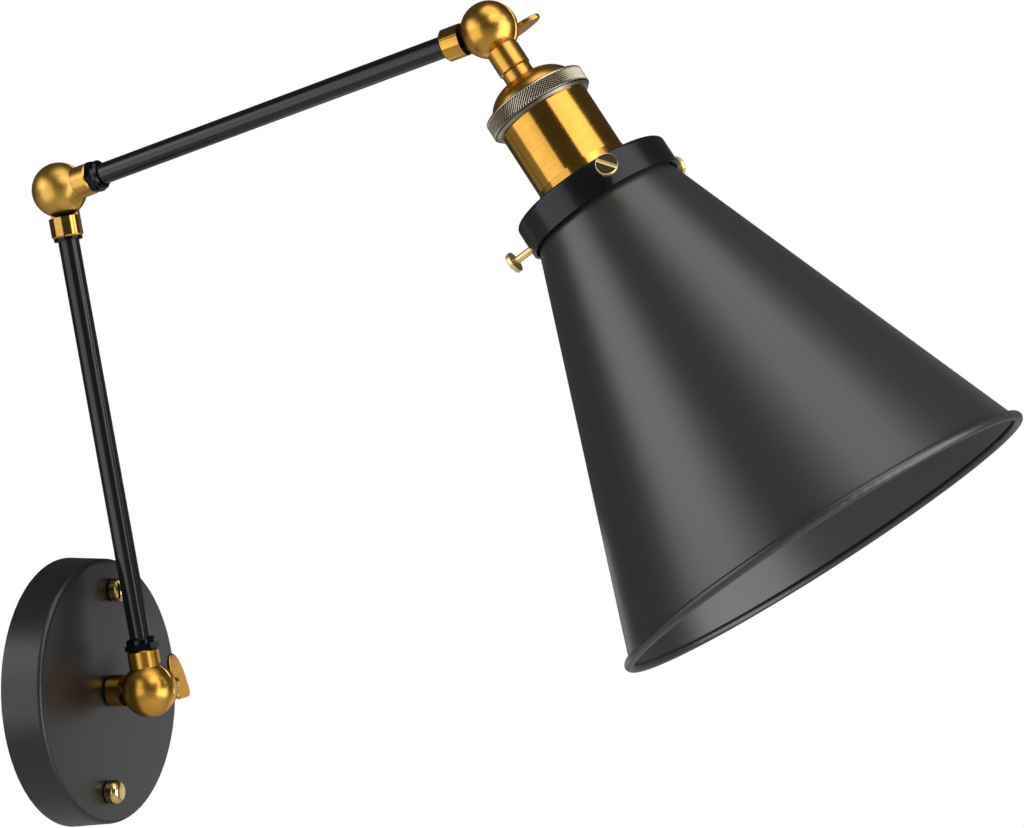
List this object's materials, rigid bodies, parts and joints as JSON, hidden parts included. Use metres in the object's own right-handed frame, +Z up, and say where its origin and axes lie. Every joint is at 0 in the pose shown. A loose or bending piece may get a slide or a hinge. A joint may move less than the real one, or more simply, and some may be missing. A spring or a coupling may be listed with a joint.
{
  "type": "swing arm wall lamp",
  "caption": "Wall lamp with a round canopy, jointed arms on clamped ball knuckles, a brass screw lamp socket and a black conical metal shade.",
  "frame": {"origin": "centre of the canopy on the wall plane, at the back face of the mounting bracket, midway between its wall slots", "axes": "+Z up, +Y into the wall, so the lamp reaches out of the wall along -Y; +X to the right when facing the wall"},
  "size_m": [0.1875, 0.4396, 0.3402],
  "materials": {
    "satin_black": "satin black powder coat",
    "gloss_black": "semi-gloss black paint",
    "antique_brass": "brushed antique brass",
    "aged_bronze": "aged bronze, knurled",
    "polished_brass": "polished",
    "zinc_steel": "zinc plated",
    "ground_green": "green",
    "porcelain": "glazed white",
    "contact_brass": "plain rolled",
    "wire_cover": "matte black"
  },
  "bodies": {
    "base": {"canopy": "satin_black", "mounting_bracket": "zinc_steel", "canopy_studs": "zinc_steel", "canopy_cap_nuts": "polished_brass", "ground_screw": "ground_green"},
    "stub": {"wall_stub": "antique_brass", "stub_nipple": "zinc_steel", "stub_washer": "zinc_steel", "stub_nut": "zinc_steel"},
    "lower_arm": {"lower_arm_knuckle": "antique_brass", "lower_arm_lock_nut": "gloss_black", "lower_arm_ferrule": "gloss_black", "lower_arm_tube": "gloss_black", "lower_arm_wires": "wire_cover", "lower_arm_end_ring": "gloss_black", "lower_arm_far_knuckle": "antique_brass"},
    "upper_arm": {"upper_arm_knuckle": "antique_brass", "upper_arm_lock_nut": "gloss_black", "upper_arm_ferrule": "gloss_black", "upper_arm_tube": "gloss_black", "upper_arm_wires": "wire_cover", "upper_arm_far_knuckle": "antique_brass"},
    "head": {"head_knuckle": "antique_brass", "socket_nipple": "zinc_steel", "socket_cap": "antique_brass", "knurled_ring": "aged_bronze", "socket_shell": "antique_brass", "socket_porcelain": "porcelain", "screw_shell": "contact_brass", "centre_contact": "contact_brass", "head_wires": "wire_cover", "shade_collar": "satin_black", "collar_ring": "zinc_steel", "shade": "satin_black"},
    "lowest_thumbscrew": {"lowest_thumbscrew": "antique_brass"},
    "elbow_thumbscrew": {"elbow_thumbscrew": "antique_brass"},
    "head_thumbscrew": {"head_thumbscrew": "antique_brass"},
    "shade_screw_1": {"shade_screw_1": "polished_brass"},
    "shade_screw_2": {"shade_screw_2": "polished_brass"},
    "shade_screw_3": {"shade_screw_3": "polished_brass"}
  },
  "joints": [
    {"name": "base_swivel", "type": "hinge", "parent": "base", "child": "stub", "pos_m": [0, 0, 0], "axis": [0, 1, 0], "range_deg": [-139, 161]},
    {"name": "base_pivot", "type": "hinge", "parent": "stub", "child": "lower_arm", "pos_m": [0, -0.039, 0], "axis": [0.9816, 0, 0.1908], "range_deg": [0, 120]},
    {"name": "elbow_pivot", "type": "hinge", "parent": "lower_arm", "child": "upper_arm", "pos_m": [-0.04266, -0.01353, 0.21945], "axis": [-0.9816, 0, -0.1908], "range_deg": [-28, 115]},
    {"name": "head_pivot", "type": "hinge", "parent": "upper_arm", "child": "head", "pos_m": [-0.05208, -0.2274, 0.26792], "axis": [0.9816, 0, 0.1908], "range_deg": [-140, 38]},
    {"name": "lowest_thumbscrew_turn", "type": "hinge", "parent": "lower_arm", "child": "lowest_thumbscrew", "pos_m": [0, -0.039, 0], "axis": [0.9816, 0, 0.1908], "range_deg": [0, 360]},
    {"name": "elbow_thumbscrew_turn", "type": "hinge", "parent": "upper_arm", "child": "elbow_thumbscrew", "pos_m": [-0.04266, -0.01353, 0.21945], "axis": [0.9816, 0, 0.1908], "range_deg": [0, 360]},
    {"name": "head_thumbscrew_turn", "type": "hinge", "parent": "head", "child": "head_thumbscrew", "pos_m": [-0.05208, -0.2274, 0.26792], "axis": [0.9816, 0, 0.1908], "range_deg": [0, 360]},
    {"name": "shade_screw_1_turn", "type": "hinge", "parent": "head", "child": "shade_screw_1", "pos_m": [-0.06958, -0.28681, 0.19848], "axis": [-0.8913, -0.4438, 0.093], "range_deg": [0, 360]},
    {"name": "shade_screw_2_turn", "type": "hinge", "parent": "head", "child": "shade_screw_2", "pos_m": [-0.03511, -0.24047, 0.17738], "axis": [0.0797, 0.8615, -0.5015], "range_deg": [0, 360]},
    {"name": "shade_screw_3_turn", "type": "hinge", "parent": "head", "child": "shade_screw_3", "pos_m": [-0.00913, -0.28588, 0.20968], "axis": [0.8116, -0.4177, 0.4084], "range_deg": [0, 360]}
  ]
}
